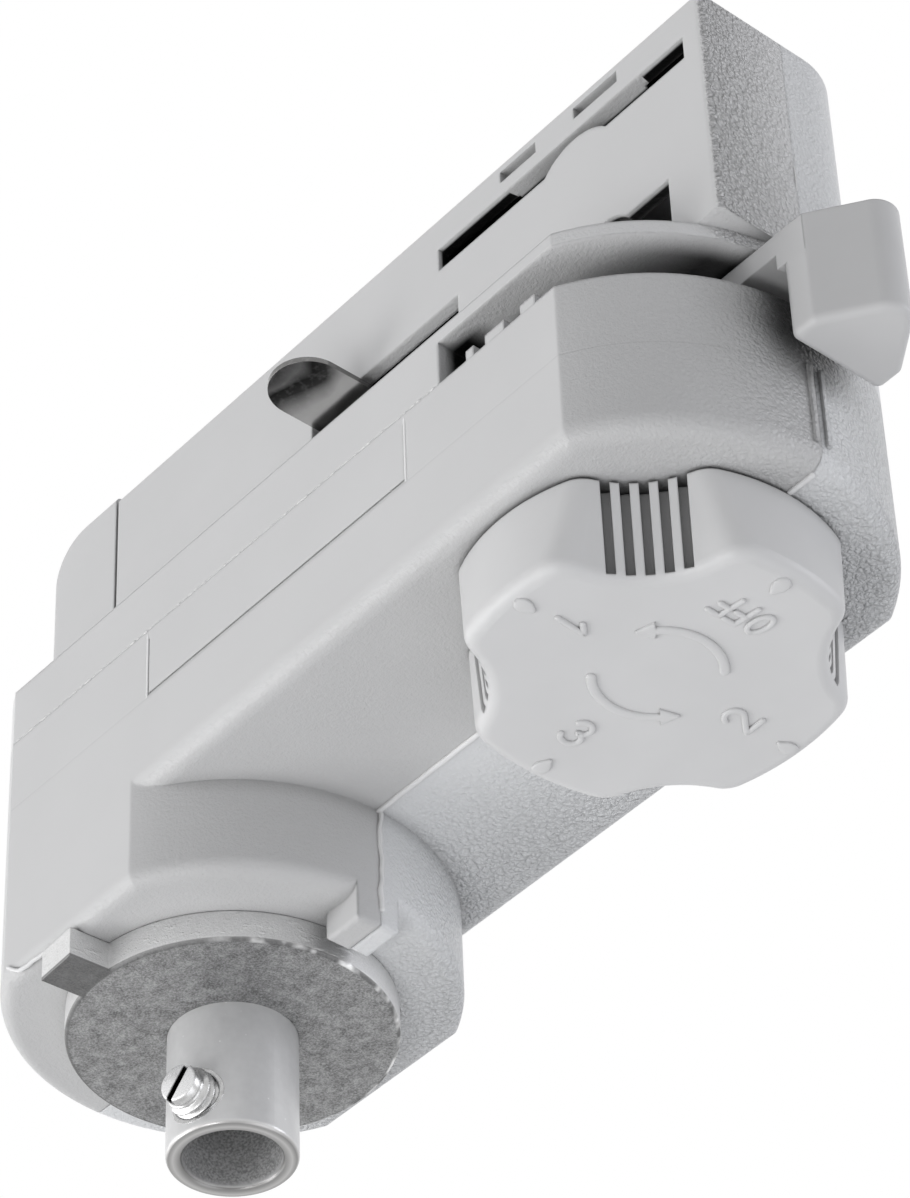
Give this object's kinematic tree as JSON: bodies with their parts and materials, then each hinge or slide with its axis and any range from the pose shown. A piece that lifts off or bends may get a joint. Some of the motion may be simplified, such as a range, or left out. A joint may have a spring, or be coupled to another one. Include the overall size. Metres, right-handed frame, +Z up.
{
  "type": "track light adapter",
  "caption": "Adapter that hangs a lamp from a lighting track, with a selector knob, a locking lever and a turning nipple.",
  "frame": {"origin": "on the nipple's axis, in the plane where the flange bears on the track", "axes": "+Z up into the track, +X along the body from the nipple to the selector knob, -Y the side with the earth contact"},
  "size_m": [0.0968, 0.0333, 0.0687],
  "materials": {
    "housing_plastic": "fine moulded satin, pale grey",
    "lever_plastic": "smooth moulded satin, pale grey",
    "knob_plastic": "smooth moulded satin, pale grey",
    "inner_plastic": "dark moulded insulating plastic",
    "cast_zinc": "grey die-cast zinc with a fine speckle",
    "contact_metal": "bright nickel-plated contact strip",
    "spring_steel": "plain rolled spring strip",
    "plated_steel": "zinc-plated steel",
    "screw_steel": "bright zinc-plated steel",
    "terminal_brass": "plain brass"
  },
  "bodies": {
    "housing": {"lower_shell_front": "housing_plastic", "lower_shell_rear": "housing_plastic", "rail_shell_front": "housing_plastic", "rail_shell_rear": "housing_plastic", "end_key": "housing_plastic", "detent_spring": "spring_steel", "terminal_block": "inner_plastic", "terminal_clamps": "terminal_brass", "terminal_screws": "plated_steel"},
    "lever": {"lock_lever": "lever_plastic", "lock_dogs": "plated_steel"},
    "selector": {"selector_knob": "knob_plastic", "selector_spindle": "inner_plastic", "contact_drum": "inner_plastic", "phase_contact": "contact_metal", "drum_cap": "inner_plastic", "detent_wheel": "inner_plastic"},
    "nipple": {"nipple_plate": "cast_zinc", "nipple_tube": "cast_zinc", "friction_washer": "plated_steel", "nipple_nut": "plated_steel"},
    "set_screw": {"grub_screw": "screw_steel"},
    "earth": {"earth_contact": "contact_metal"},
    "neutral": {"neutral_contact": "contact_metal"}
  },
  "joints": [
    {"name": "lever_swing", "type": "hinge", "parent": "housing", "child": "lever", "pos_m": [0.0504, 0, -0.0034], "axis": [0, 0, 1], "range_deg": [-85, 0]},
    {"name": "selector_turn", "type": "hinge", "parent": "housing", "child": "selector", "pos_m": [0.0504, 0, -0.0246], "axis": [0, 0, 1], "continuous": true},
    {"name": "nipple_turn", "type": "hinge", "parent": "housing", "child": "nipple", "pos_m": [0, 0, -0.031], "axis": [0, 0, 1], "range_deg": [-250, 76]},
    {"name": "screw_drive", "type": "slide", "parent": "nipple", "child": "set_screw", "axis": [-0.2924, 0.9563, 0], "range_m": [0, 0.0018]},
    {"name": "earth_press", "type": "slide", "parent": "housing", "child": "earth", "axis": [0, 1, 0], "range_m": [0, 0.0065], "stiffness_N_per_m": 120},
    {"name": "neutral_press", "type": "slide", "parent": "housing", "child": "neutral", "axis": [0, -1, 0], "range_m": [0, 0.005], "stiffness_N_per_m": 120}
  ]
}
